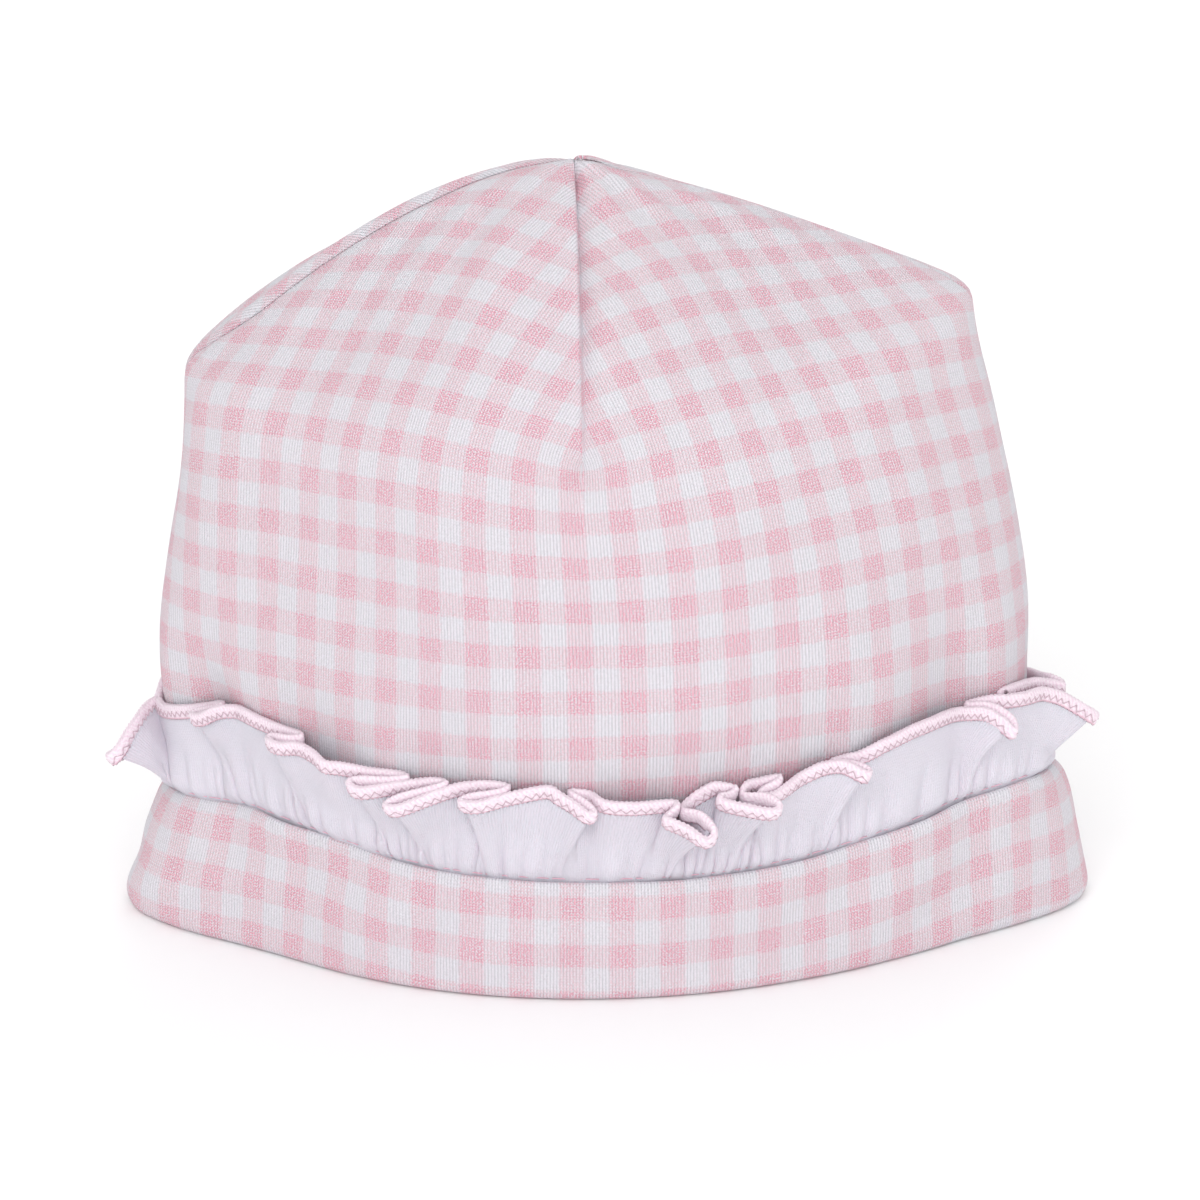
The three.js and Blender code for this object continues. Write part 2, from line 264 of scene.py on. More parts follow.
# How far the knit of the front panel was pulled in sewing, in mm. Each row: how far up the crown it is,
# then how far sideways and how far upwards at each of these turns. The dart parts the columns for 88 and
# 92 degrees above its end. The pull of each place fades over some degrees and over a share of the way up.
PULL_REACH = (17, 0.22)
PULL_TURNS = (0, 20, 45, 70, 88, 92, 110, 135, 160, 180)
PULLS = [
    (0.25, (-2.2, -6, -4.3, -1.9, -1.2, -1, -0.8, -3.6, -4.2, -1.7),
     (3.3, 1.6, 0.8, 0.6, -0.7, -0.8, -1.3, 1.6, 3.3, 1.9)),
    (0.5, (-0.1, -4.5, -4, -1.7, -0.7, -0.4, -0.8, -2, -2.7, -2),
     (4, 2.5, 0.5, 0.2, -1.1, -1.2, -1.5, -0.7, 0.4, 1.3)),
    (0.75, (5.1, 1.7, -3.6, -0.5, 0.3, 0.2, -1.4, -2.4, 0.6, 0.7),
     (5.1, 3.1, 0.3, -0.3, -0.2, -0.2, -0.1, -0.7, 0, 1)),
    (1.0, (-0.1, -1.3, -1.1, 4.3, 4.7, 0.8, 1.2, 5.5, 8.8, 8.1),
     (4.4, 2.9, 1.2, -0.3, -0.3, -0.2, -0.6, -0.6, 0.8, 1.3)),
    (1.3, (-3.1, -1.1, 2.8, 3, 1.9, 1.6, 3.1, 4.8, 8, 8.2),
     (5.9, 3.3, 0.9, 1.2, 2.5, 0, -0.3, -0.6, 1.3, 0.9)),
    (1.7, (-0.5, -0.1, 0.3, 0.5, 1, 7.6, 6.6, 6.1, 6.5, 7.1),
     (4, 4, 4.1, 5.5, 5.1, 4.1, 3.3, 1.7, 1.7, 1.7)),
]
LEFT_SEAM_FORWARD = 6.5
RIGHT_SEAM_BACK = 13


def over_the_top(along):
    """1 over the rounded top, fading to 0 at the dart ends and at the point."""
    return smooth_step(along, 0.99, 1.2) * (1 - smooth_step(along, 1.62, 1.9))


def left_seam(along):
    """The turn of the seam at the left, which comes forward over the rounded top."""
    return LEFT_SEAM_FORWARD * over_the_top(along)


def right_seam(along):
    """The turn of the seam at the right, which goes back over the rounded top."""
    return 180 + RIGHT_SEAM_BACK * over_the_top(along)


# Narrow creases of the wall: turn, how far up, how many degrees it slants over the whole height, width
# in mm, how tall it is as a share of the height, depth in mm
CREASES = [
    (22.5, 0.27, 0, 1.8, 0.12, 0.8), (160, 0.3, -20, 1.6, 0.1, 0.7), (155.5, 0.38, -12, 1.6, 0.08, 0.6),
    (29, 0.2, 10, 2.2, 0.07, 0.5), (203, 0.26, 14, 1.8, 0.1, 0.7), (338, 0.24, -8, 1.8, 0.1, 0.7),
]
# The dart's left edge, which stands over the right one, and the right one, which dips to it: depths and
# how far they reach to the side, in mm
LIP, LIP_REACH = 0.5, 3.2
DIP, DIP_REACH = 1.0, 2.3
MIDWAY_DIP = 1.1
# The grooves that the seams' threads draw in
DART_GROOVE = 0.5
SIDE_GROOVE, SIDE_GROOVE_REACH = 0.2, 0.7
# The cloth behind the left seam rolls up over it
ROLL, ROLL_AWAY, ROLL_REACH = 0.55, 2.2, 1.8
DIMPLE = 1.0


def crown_relief(turn, along, per_degree, first_turn):
    """How far the cloth stands out from the plain crown: the seams' grooves and the cloth beside them."""
    from_dart = turned(turn, first_turn + 90) * per_degree
    beside_dart = np.abs(from_dart)
    past_left, past_right = turned(turn, left_seam(along)), turned(turn, right_seam(along))
    from_side = np.minimum(np.abs(past_left), np.abs(past_right)) * per_degree
    darted = smooth_step(along, 0.985, 1.06) * (1 - 0.6 * smooth_step(along, 1.85, 1.97))
    over = LIP * np.exp(-beside_dart / LIP_REACH) - DART_GROOVE * np.exp(-beside_dart / 0.22)
    dipped = -DIP - MIDWAY_DIP * hump(along - 1.45, 0.3)
    under = dipped * np.exp(-beside_dart / DIP_REACH) - DART_GROOVE * np.exp(-beside_dart / 0.25)
    dart = darted * np.where(from_dart < 0.02, over, under)
    behind = ROLL * hump(from_side - ROLL_AWAY, ROLL_REACH)
    rolled = np.where(past_left < 0, behind, -SIDE_GROOVE * hump(from_side, ROLL_REACH))
    side = rolled * hump(turned(turn, 0), 40) * smooth_step(along, 1, 1.15)
    side = side - SIDE_GROOVE * np.exp(-from_side / SIDE_GROOVE_REACH)
    gathers = 0.2 * darted * np.sin(along * 55 + 2) * np.exp(-beside_dart / 3.5)
    dimple = -DIMPLE * hump(along - 1.01, 0.035) * hump(from_dart, 3)
    below = 0.3 * np.cos(from_dart * 0.62) * hump(from_dart, 9) * hump(along - 0.9, 0.09)
    creases = 0
    for at, up, slant, wide, tall, deep in CREASES:
        from_crease = turned(turn, at + slant * (along - up)) * per_degree
        creases = creases - deep * hump(from_crease, wide) * hump(along - up, tall)
    uneven = ripples(turn * DEGREE, along * 80, 4, (26, 11), (0.3, 0.1)) * smooth_step(from_side, 0, 8)
    return dart + side + gathers + dimple + below + creases + uneven


# The nub where the seams meet at the point, and the hollow behind it: height and where its middle lies
# to the right of the point and behind it
NUB, NUB_PLACE = 0.5, (2.9, 0.5)
HOLLOW, HOLLOW_BEHIND = 1.0, 6.5


def crown_surface(turn, along, first_turn):
    """Outer face of a crown panel, with its seams, creases and unevenness."""
    step, rise = 0.25, 0.004
    across = plain_crown(turn + step, along) - plain_crown(turn - step, along)
    upward = plain_crown(turn, along + rise) - plain_crown(turn, along - rise)
    outward = np.cross(across, upward)
    length = np.linalg.norm(outward, axis=-1, keepdims=True)
    outward = np.where(length > 1e-6, outward / np.maximum(length, 1e-9), (0, 0, 1))
    per_degree = np.linalg.norm(across, axis=-1) / (2 * step)
    relief = crown_relief(turn, along, per_degree, first_turn)
    points = plain_crown(turn, along) + outward * relief[..., None]
    from_point = points[..., :2] - (HALF_WIDTH * POINT_SHIFT, 0)
    across_point, behind_point = from_point[..., 0], from_point[..., 1]
    nub = NUB * hump(across_point - NUB_PLACE[0], 2.3) * hump(behind_point - NUB_PLACE[1], 2.6)
    hollow = HOLLOW * hump(behind_point - HOLLOW_BEHIND, 5.5) * hump(across_point, 16)
    points[..., 2] += nub * smooth_step(along, 1.4, 1.8)
    points[..., 2] -= hollow * smooth_step(along, 1.2, 1.6)
    return points


# Meshes
def new_piece(name, bm):
    mesh = bpy.data.meshes.new(name)
    bm.to_mesh(mesh)
    bm.free()
    for face in mesh.polygons:
        face.use_smooth = True
    piece = bpy.data.objects.new(name, mesh)
    bpy.context.scene.collection.objects.link(piece)
    return piece


def cloth_grid(columns, rows, place, cloth=None, cut_up_the_middle=False):
    """A grid of cloth laid out by place. Where cloth is given it holds the flat cloth's own millimetres
    as a UV map. Where it isn't, a second UV map keeps each face's place on the grid for laying it flat.
    The middle of its upper half may be marked as a cut."""
    bm = bmesh.new()
    bmesh.ops.create_grid(bm, x_segments=columns, y_segments=rows, size=1)
    across, up = (np.array([vert.co[axis] for vert in bm.verts]) for axis in (0, 1))
    for name in ("cloth",) if cloth else ("cloth", "grid"):
        bm.loops.layers.uv.new(name)
    layers = bm.loops.layers.uv.values()
    u, v = cloth(across, up) if cloth else (across, up)
    for face in bm.faces:
        inward = 1e-4 if face.calc_center_median().x > 0 else -1e-4
        for loop in face.loops:
            for layer in layers:
                loop[layer].uv = (u[loop.vert.index] + (0 if cloth else inward), v[loop.vert.index])
    for edge in bm.edges:
        edge.seam = cut_up_the_middle and all(abs(v.co.x) < 1e-6 and v.co.y > -1e-6 for v in edge.verts)
    for vert, point in zip(list(bm.verts), in_frame(place(across, up))):
        vert.co = point
    bmesh.ops.remove_doubles(bm, verts=bm.verts, dist=1e-6)
    return bm


def add_wall(piece, thickness, offset, squared=0.0):
    """Gives the cloth its thickness, to the inside for an offset of -1, and rounds it off once."""
    wall = piece.modifiers.new("wall", "SOLIDIFY")
    wall.thickness, wall.offset = thickness * mm, offset
    wall.use_even_offset = False
    wall.use_rim = True
    wall.material_offset = 1
    wall.edge_crease_outer = squared
    smooth = piece.modifiers.new("smooth", "SUBSURF")
    smooth.levels = smooth.render_levels = 1


def pulled(turn, along):
    """How far the knit of the front panel was pulled at each place, sideways and upwards, in mm."""
    total, weights = 0, 0
    for up, sideways, upwards in PULLS:
        for at, side, rise in zip(PULL_TURNS, sideways, upwards):
            same_side = np.where((turn - 90) * (at - 90) > 0, 1, 1 - smooth_step(along, 0.9, 1.05))
            weight = hump(turn - at, PULL_REACH[0]) * hump(along - up, PULL_REACH[1]) * same_side + 1e-12
            total = total + weight[:, None] * (side, rise)
            weights = weights + weight
    return total / weights[:, None]


def map_places(piece, name):
    """What one of the piece's UV maps holds at each corner of its mesh."""
    places = np.zeros(len(piece.data.loops) * 2)
    piece.data.uv_layers[name].data.foreach_get("uv", places)
    return places.reshape(-1, 2)


def flatten(piece, places, middle, beside, pull):
    """Lays the panel flat with as little stretch as the cloth had, and keeps each corner's place on the
    flat cloth in millimetres, measured from the middle of the lower edge, which is cut straight. Places
    are the turn and the height up the crown of each corner of the mesh. Pull moves the knit on it."""
    bpy.ops.object.select_all(action="DESELECT")
    piece.select_set(True)
    bpy.context.view_layer.objects.active = piece
    bpy.ops.object.mode_set(mode="EDIT")
    bpy.ops.mesh.select_all(action="SELECT")
    bpy.ops.uv.unwrap(method="MINIMUM_STRETCH", correct_aspect=False, margin=0, iterations=30)
    bpy.ops.object.mode_set(mode="OBJECT")
    mesh = piece.data
    turn, up = places
    flat = map_places(piece, "cloth")
    corners = np.array([loop.vertex_index for loop in mesh.loops])
    verts = np.array([vert.co for vert in mesh.vertices])
    flat_area = 0
    for face in mesh.polygons:
        ring = flat[list(face.loop_indices)]
        ahead = np.roll(ring, -1, 0)
        flat_area += np.sum(ring[:, 0] * ahead[:, 1] - ring[:, 1] * ahead[:, 0]) / 2
    scale = math.sqrt(sum(face.area for face in mesh.polygons) / abs(flat_area)) / mm
    start, end = (flat[np.argmax(corners == np.argmin(np.linalg.norm(verts - p, axis=1)))]
                  for p in (middle, beside))
    level = (end - start) / np.linalg.norm(end - start)
    moved = (flat - start) * scale
    cloth = np.stack([moved @ level, moved @ (-level[1], level[0])], -1)
    lower = up < 0.001
    order = np.argsort(turn[lower])
    cloth[:, 1] -= np.interp(turn, turn[lower][order], cloth[lower, 1][order])
    if pull:
        cloth += pull(turn, up)
    mesh.uv_layers["cloth"].data.foreach_set("uv", cloth.ravel())


def face_places(piece, spread):
    """The turn and the height up the crown at each corner of the mesh, taken from its face's own side."""
    across, up = map_places(piece, "grid").T
    return spread(across, 1 + up), 1 + up


def crown_panel(name, first_turn, pull=None):
    left = -1 if first_turn == 0 else 1

    def spread(across, along):
        """The turn of each place, with the columns close together at the dart and the side seams."""
        share = np.abs(across)
        share = share - SEAM_CROWDING * np.sin(2 * np.pi * share) / (2 * np.pi)
        turn = first_turn + 90 + 90 * np.sign(across) * share
        return turn + share**4 * np.where(across * left > 0, left_seam(along), right_seam(along) - 180)

    def place(across, up):
        points = crown_surface(spread(across, 1 + up), 1 + up, first_turn)
        side = np.where(np.abs(across) > 0.9999, SIDE_GAP if first_turn else -SIDE_GAP, 0)
        points[:, 1] = np.where((side != 0) & (left_seam(1 + up) < 0.01), side, points[:, 1] + side)
        return points

    piece = new_piece(name, cloth_grid(PANEL_COLUMNS, PANEL_ROWS, place, cut_up_the_middle=True))
    dart = first_turn + 90
    middle, beside = in_frame(crown_surface(np.array([dart, dart + 12.0]), np.zeros(2), first_turn))
    flatten(piece, face_places(piece, spread), middle, beside, pull)
    piece.data.uv_layers.remove(piece.data.uv_layers["grid"])
    add_wall(piece, CROWN_WALL, -1, squared=SEAM_SHARPNESS)
    return piece


# Cuff
CUFF_COLUMNS = 300
CUFF_ROWS = 34
CUFF_SEAM_TURN = 270
CUFF_STITCH = 2.7
# The knit swells a little between the stitches of the top edge, and is drawn in at the cuff's own seam
SCALLOP = 0.16
SEAM_GROOVE, SEAM_GROOVE_REACH = 0.5, 0.5
HOOP_HEIGHT = 10.0
# The cuff round the hat: turn, how far its outer face stands out from the crown at the floor and just
# below its top edge, and its height
CUFF_ROUND = [
    (-20, 6.2, 3.3, 22.6), (-9, 8.6, 3.8, 21.4), (0, 11, 4.4, 20.8), (7, 8.6, 4, 21.6),
    (14, 6.8, 3.6, 22.5), (22, 5.6, 3.3, 23.2), (34, 4.6, 3.1, 23.6), (48, 4.1, 3, 23.3),
    (62, 3.7, 3, 21.9), (72, 3.5, 3, 20.9), (90, 3.7, 3, 20.4), (106, 3.4, 3, 20.4),
    (118, 3.2, 3, 21), (130, 3.7, 3, 22), (148, 3.5, 3, 23.5), (160, 3.1, 3.2, 25),
    (167, 3.6, 3.4, 25.4), (174, 5.4, 3.9, 24.8), (180, 8.8, 4.4, 24), (185, 11.4, 4.6, 23.6),
    (192, 8.6, 3.9, 23.4), (205, 5.8, 3.3, 23), (228, 4.4, 3, 22.6), (250, 3.8, 3, 21.2),
    (270, 3.8, 3, 20.5), (292, 3.8, 3, 21.2), (315, 4.6, 3.1, 22.6),
]
HOOP_TURNS = np.linspace(-90, 270, 1441)


def smooth_path(points, shares):
    """Places at shares of the length of a smooth curve through points, and its length."""
    points = np.asarray(points, float)
    padded = np.concatenate([2 * points[:1] - points[1:2], points, 2 * points[-1:] - points[-2:-1]])
    share = np.linspace(0, 1, 12, endpoint=False)[:, None]
    runs = [spline(*four, share) for four in zip(padded, padded[1:], padded[2:], padded[3:])]
    fine = np.concatenate([*runs, points[-1:]])
    lengths = lengths_along(fine)
    spots = shares * lengths[-1]
    return np.stack([np.interp(spots, lengths, column) for column in fine.T], -1), lengths[-1]


def round_the_cuff(turn, column):
    """One column of the cuff's table as a smooth curve round the hat."""
    rows = np.array(CUFF_ROUND)
    turns = np.concatenate([rows[-3:, 0] - 360, rows[:, 0], rows[:3, 0] + 360])
    values = np.concatenate([rows[-3:, column], rows[:, column], rows[:3, column]])
    near = np.asarray(turn, float)[..., None] + np.array([-4.5, -3, -1.5, 0, 1.5, 3, 4.5])
    return np.interp((near + 20) % 360 - 20, turns, values).mean(-1)


def cuff_path(turn):
    """Middle of the cuff's cloth at a turn, from its inner edge, round the fold, to its top edge, which
    rolls in to the ruffle: offset from the crown's outline and height."""
    foot, leg, top = (float(round_the_cuff(turn, column)) for column in (1, 2, 3))
    half = CUFF_WALL / 2
    return [
        (-CROWN_WALL / 2, CUFF_INNER_HEIGHT - 0.1),
        (max(foot - 5, -1.3), half + 1),
        (max(foot - 4, -0.6), half + 0.02),
        (foot - 2, half + 0.02),
        (foot - half - 0.15, half + 0.04),
        (foot - half + 0.05, half + 0.7),
        (foot - half - 0.05, 3.0),
        ((foot + leg) / 2 + 0.12 * (foot - leg) - half, (top + 2) / 2),
        (leg + 0.26 * (foot - leg) - half, top - 3.1),
        (leg - half, top - 1.4),
        (leg - half - 0.45, top - 0.7),
        (leg - half - 0.53, top - 0.52),
    ]


def hoop_lengths():
    """How far round the cuff each hoop turn is, in mm from the middle of the front."""
    offset = (round_the_cuff(HOOP_TURNS, 1) + round_the_cuff(HOOP_TURNS, 2)) / 2
    lengths = lengths_along(outline_point(HOOP_TURNS, HOOP_HEIGHT, offset))
    return lengths - np.interp(90, HOOP_TURNS, lengths)


HOOP_LENGTHS = hoop_lengths()


def make_cuff():
    """The cuff, and the mean length of its section."""
    turns = np.linspace(-90, 270, CUFF_COLUMNS + 1)
    shares = np.linspace(0, 1, CUFF_ROWS + 1)
    sections = [smooth_path(cuff_path(turn), shares) for turn in turns]
    paths = np.array([path for path, _ in sections])
    path_lengths = np.array([length for _, length in sections])

    def place(across, up):
        column, row = grid_step(across, CUFF_COLUMNS), grid_step(up, CUFF_ROWS)
        offset, height = paths[column, row].T
        turn = turns[column]
        along = np.interp(turn, HOOP_TURNS, HOOP_LENGTHS)
        outer = smooth_step(row / CUFF_ROWS, 0.4, 0.6)
        from_seam = np.abs(turned(turn, CUFF_SEAM_TURN))
        waves = ripples(along, height, 9, (24, 9), (0.35, 0.12)) * outer * smooth_step(from_seam, 0, 6)
        edge = smooth_step(row / CUFF_ROWS, 0.93, 1)
        scallops = SCALLOP * np.abs(np.sin(np.pi * along / CUFF_STITCH)) * edge
        seam = -SEAM_GROOVE * np.exp(-from_seam / SEAM_GROOVE_REACH) * outer
        relief = (waves + seam) * smooth_step(height, 1.2, 4)
        return outline_point(turn, height + scallops * 0.8, offset + relief + scallops * 0.5)

    def cloth(across, up):
        turn = np.interp(across, (-1, 1), (-90, 270))
        lengths = path_lengths[grid_step(across, CUFF_COLUMNS)]
        return np.interp(turn, HOOP_TURNS, HOOP_LENGTHS), (up - 1) / 2 * lengths

    piece = new_piece("cuff_band", cloth_grid(CUFF_COLUMNS, CUFF_ROWS, place, cloth))
    add_wall(piece, CUFF_WALL, 0)
    return piece, path_lengths.mean()


# Ruffle
# Places at which the free edge is worked out, of which the cloth takes one in four
STATIONS = 3280
RUFFLE_EVERY = 4
# The ruffle's free edge as it winds round the hat, fold by fold: turn, how far it stands out and, where it
# isn't 0, how much lower it hangs
FREE_EDGE = [
    (-7, 2.6), (-2, 3.2, 2), (2.3, 6.5, 3), (5.4, 11.3, 2.2), (7.5, 14.5, -2.4), (8.5, 12.4, -1.2),
    (7.3, 7.8, -0.4), (3.6, 3.9), (3.4, 2.5), (8, 2.3), (17.1, 2.3, -1.9), (23.4, 2.4, -3.5),
    (25.4, 3.3, -4), (23.4, 4.3, -3.5), (19.8, 5, -2.6), (19.1, 5.9, -2.4), (21.7, 6.4, -3.1),
    (25.5, 5.6, -4), (27.9, 3.6, -3.8), (30.8, 2.6, -3.7), (36, 2.6, -3.3), (41.7, 2.6, -3),
    (45.6, 2.7, -3), (46.8, 3.6, -3), (44.8, 4.5, -3), (41.8, 5, -3), (41.3, 6, -3), (44, 6.4, -3),
    (47.8, 5.2, -3), (51.2, 5.6, -2.8), (54.1, 6.7, -2.7), (56.5, 5.6, -2.2), (60.6, 4.2, -1.4),
    (65, 3.4, -1.3), (66.7, 4.2, -1.4), (64, 5.2, -1.3), (59.8, 6.4, -1.5), (58.7, 7.7, -1.7),
    (61, 8, -1.3), (65.6, 5.8, -1.4), (70.4, 3.9, -1.7), (72.5, 4.5, -1.9), (70.8, 5.9, -1.8),
    (66.9, 7.8, -1.4), (65.2, 9.6, -1.4), (67.1, 9.7, -1.5), (71, 7, -1.8), (74.4, 4.4, -2),
    (78, 3.3, -2.1), (80.6, 3.8, -2.1), (79.7, 5.2, -2.1), (76.2, 6.4, -2), (75, 7.6, -2),
    (77.3, 7.8, -2.1), (81.1, 5.6, -2.1), (85.6, 3.8, -2.3), (87.3, 4.8, -1.8), (89.2, 6.6, -1.5),
    (90.6, 8.3, -1.5), (91.5, 8, -1.5), (90.4, 6, -1.4), (88.7, 4.2, -1.5), (88.7, 3.3, -1.5),
    (91, 3.6, -1.2), (92.8, 6, -1.4), (96.4, 6.2, -1), (100, 5.4, -0.5), (102, 5.4, -0.4), (102, 6.6, -0.5),
    (100.8, 7.6), (100.6, 8.6, -0.3), (102.8, 10.8, -1), (104.7, 12.8, -1.6), (105.9, 11.9, -1.8),
    (104.7, 8.6, -0.8), (102.9, 6.2, 0.6), (103.7, 3.9, 1), (105.4, 3.3, -0.3), (107.6, 3.5, -1.6),
    (110.3, 4.6, -1.2), (109.1, 5.6, -1), (107.9, 6.3, -1.5), (107.8, 7.4, -1.5), (110.5, 8.8, -1.4),
    (113.9, 10.2, -1.5), (115, 9.4, -1.6), (113.8, 7.1, -1), (111.4, 4.9, 0.2), (112.2, 3.4, -0.6),
    (114.4, 2.9, -0.6), (117, 3.2, -1), (116.6, 4.2, -0.8), (114.2, 5, -0.3), (113.4, 6.2, -0.2),
    (115.4, 6.2), (118.2, 4.6), (120.8, 3.2, -0.2), (124, 3.2, -1.2), (127.4, 4, -1.2), (130.2, 5.9),
    (131, 5.2), (129.4, 3.2), (127.2, 1.7), (127.6, 0.9), (130.6, 1.3), (134.8, 2), (141, 1.5),
    (148.6, 1.2), (154.4, 1.1), (157.4, 1.4), (159.6, 2.3), (161.2, 4.4), (162, 6.2), (162.5, 4.6),
    (161.2, 2), (159.4, 0.5), (158, 0), (157.4, -0.4), (158, -0.9), (160, -0.8), (162, -0.1), (165, 1),
    (169, 1.3), (172, 1.7), (175, 3.6, 0.2), (176.8, 5.2, 0.7), (178.5, 7, 1.2), (179.9, 8.4, 1.6),
    (180.8, 7.2, 2.3), (179.4, 5.4, 3), (177.4, 3.4, 3), (174.6, 1.4, 3), (171, 0.1, 3), (167, -0.2, 3),
    (164.4, -0.6, 1.4), (163.8, -1.2, -0.5), (166, -1.5, -0.8), (170, -1.4, -0.6), (173, -1, -0.2),
    (175.6, 0.4), (177.2, 1.8), (178.3, 3), (179.3, 2.6, 0.2), (180.4, 1.3, 0.8), (183, 0, 1.9),
    (187, -0.4, 2.8), (192, -0.8, 3),
]
# The folds at the back and at its sides follow one another in this shape, drawn wider or narrower: how
# many degrees on, and how far out
BACK_FOLD = [
    (0, 0.6), (3.4, 0.2), (6.2, 0.8), (6.6, 2.2), (4.0, 3.4),
    (3.6, 4.8), (6.0, 6.6), (8.8, 7.4), (9.8, 5.4), (10.2, 2.4),
]
BACK_FOLD_WIDTH = 12.2
BACK_FOLDS = 12
BACK_START, BACK_END = 198.0, 340.0
BACK_REST = [(344, 2.2, 0), (349, 2.2, 0)]
# How much further out than the folds' table says the free edge stands: turn, distance
STANDS_OUT = [
    (0, -1.5), (45, -1.8), (90, -2.3), (120, -1.2), (140, 0.9), (160, 2.3),
    (180, 2.7), (200, 2.2), (225, 0.6), (270, 0.4), (315, -0.8), (360, -1.5),
]
LEAST_OUT = 1.0
# Where the free edge stands higher: turn, and how much higher close to the crown
STANDS_HIGHER = [
    (0, 0), (131, 0), (135, 1.5), (142, 2.5), (157, 2.8),
    (165, 4.3), (181, 4.0), (200, 2.4), (235, 0), (360, 0),
]


def wound_edge():
    """The free edge fold by fold, once round the hat."""
    draw = np.random.default_rng(21)
    rows = [(*row, 0)[:3] for row in FREE_EDGE]
    widths = draw.uniform(0.85, 1.15, BACK_FOLDS)
    widths *= (BACK_END - BACK_START) / (widths.sum() * BACK_FOLD_WIDTH)
    turn = BACK_START
    for width in widths:
        reach = draw.uniform(0.7, 1.2)
        rows += [(turn + x * width, 1.0 + y * reach, 0) for x, y in BACK_FOLD]
        turn += BACK_FOLD_WIDTH * width
    return np.array(rows + BACK_REST)


def closed_curve(rows, count):
    """Evenly spaced places on a smooth curve through rows that goes once round the hat, and its length."""
    lap = np.array([360.0, 0.0, 0.0])
    padded = np.concatenate([rows[-2:] - lap, rows, rows[:3] + lap])
    share = np.linspace(0, 1, 16, endpoint=False)[:, None]
    fours = zip(padded[1:], padded[2:], padded[3:], padded[4:])
    fine = np.concatenate([spline(*four, share) for four in fours])
    fine = np.concatenate([fine, fine[:1] + lap])
    lengths = lengths_along(fine * (DEGREE, 1.0, 0.0))
    spots = np.linspace(0, lengths[-1], count + 1)
    return np.stack([np.interp(spots, lengths, column) for column in fine.T], -1), lengths[-1]


edge_curve, EDGE_LENGTH = closed_curve(wound_edge(), STATIONS)
edge_turn, edge_out, edge_lower = edge_curve.T
# The gathers are evened out over this length of the edge, in mm, and nowhere drawn closer than this share
EVEN_OVER = 11
LEAST_SPREAD = 0.25


def gathered_turns():
    """Where each part of the ruffle is sewn in: its own turn, evened out over some length of the edge."""
    reach = int(STATIONS * EVEN_OVER / EDGE_LENGTH)
    weights = hump(np.arange(-2 * reach, 2 * reach + 1), reach)
    one_lap = edge_turn[:-1]
    laps = np.concatenate([one_lap - 360, one_lap, one_lap + 360])
    even = np.convolve(laps, weights / weights.sum(), mode="same")[STATIONS:2 * STATIONS]
    steps = np.diff(np.concatenate([even, [even[0] + 360]]))
    steps = np.maximum(steps, LEAST_SPREAD * 360 / STATIONS)
    turns = even[0] + np.concatenate([[0], np.cumsum(steps)])
    return even[0] + (turns - turns[0]) * 360 / (turns[-1] - turns[0])


def round_the_hat(table):
    """A table's value at each station of the free edge."""
    return np.interp(edge_turn % 360, *np.transpose(table))


base_turn = gathered_turns()
edge_offset = np.maximum(edge_out + round_the_hat(STANDS_OUT), LEAST_OUT)
edge_lift = round_the_hat(STANDS_HIGHER) * np.clip(1 - (edge_offset - 2) / 9, 0, 1) - edge_lower
edge_height = cuff_top(base_turn) + np.sqrt(np.maximum(RUFFLE_HEIGHT**2 - edge_out**2, 4)) + edge_lift
sewn_height = round_the_cuff(base_turn, 3)
sewn_offset = round_the_cuff(base_turn, 2) - SEWN_IN
# Distances between the gathers' creases, in mm, and how often each comes
GAPS = (2.2, 3.0, 4.2, 6.0, 8.0)
GAP_CHANCES = (0.2, 0.3, 0.25, 0.15, 0.1)
MEAN_GAP = 4.6
# How far the cloth puffs out between two creases: as a share of their distance, and at most, in mm
PUFF, MOST_PUFF = 0.42, 1.9


def gathers():
    """For each station: how far it is between two creases, 0 to 1, their distance apart and how far up
    the ruffle they run."""
    draw = np.random.default_rng(5)
    gaps = draw.choice(GAPS, size=int(EDGE_LENGTH / MEAN_GAP), p=GAP_CHANCES)
    ends = np.cumsum(gaps) * STATIONS / gaps.sum()
    starts = np.concatenate([[0], ends[:-1]])
    reach = draw.uniform(0.25, 0.6, len(gaps))
    station = np.arange(STATIONS + 1) % STATIONS
    gap = np.clip(np.searchsorted(ends, station, side="right"), 0, len(ends) - 1)
    return (station - starts[gap]) / (ends[gap] - starts[gap]), gaps[gap], reach[gap]


crease_share, crease_gap, crease_reach = gathers()


def ruffle_point(station, distance):
    """Middle of the ruffle's cloth at a station of its free edge and a distance from the cuff's top."""
    station = np.asarray(station, int)
    share = np.clip(distance / RUFFLE_HEIGHT, 0, 1.2)
    sewn_in = sewn_offset[station]
    turn = base_turn[station] + (edge_turn[station] - base_turn[station]) * share**1.3
    offset = sewn_in + (edge_offset[station] - sewn_in) * share**1.45
    puffed = np.sin(np.pi * crease_share[station]) ** 0.5
    swell = smooth_step(share, -0.03, 0.1) * (1 - smooth_step(share, 0.12, crease_reach[station] + 0.15))
    offset = offset + np.minimum(PUFF * crease_gap[station], MOST_PUFF) * puffed * swell
    rise = np.where(distance < 0, distance, (edge_height - sewn_height)[station] * share)
    height = sewn_height[station] + rise
    return outline_point(turn, height, offset)


# Rows of the ruffle's cloth, in mm up from the cuff's top
RUFFLE_ROWS = (-4, -2.4, -1, 0, 0.8, 1.7, 2.8, 4.2, 5.8, 7.6, 9.4, 11.2, 12.8, 14.0, 14.9)


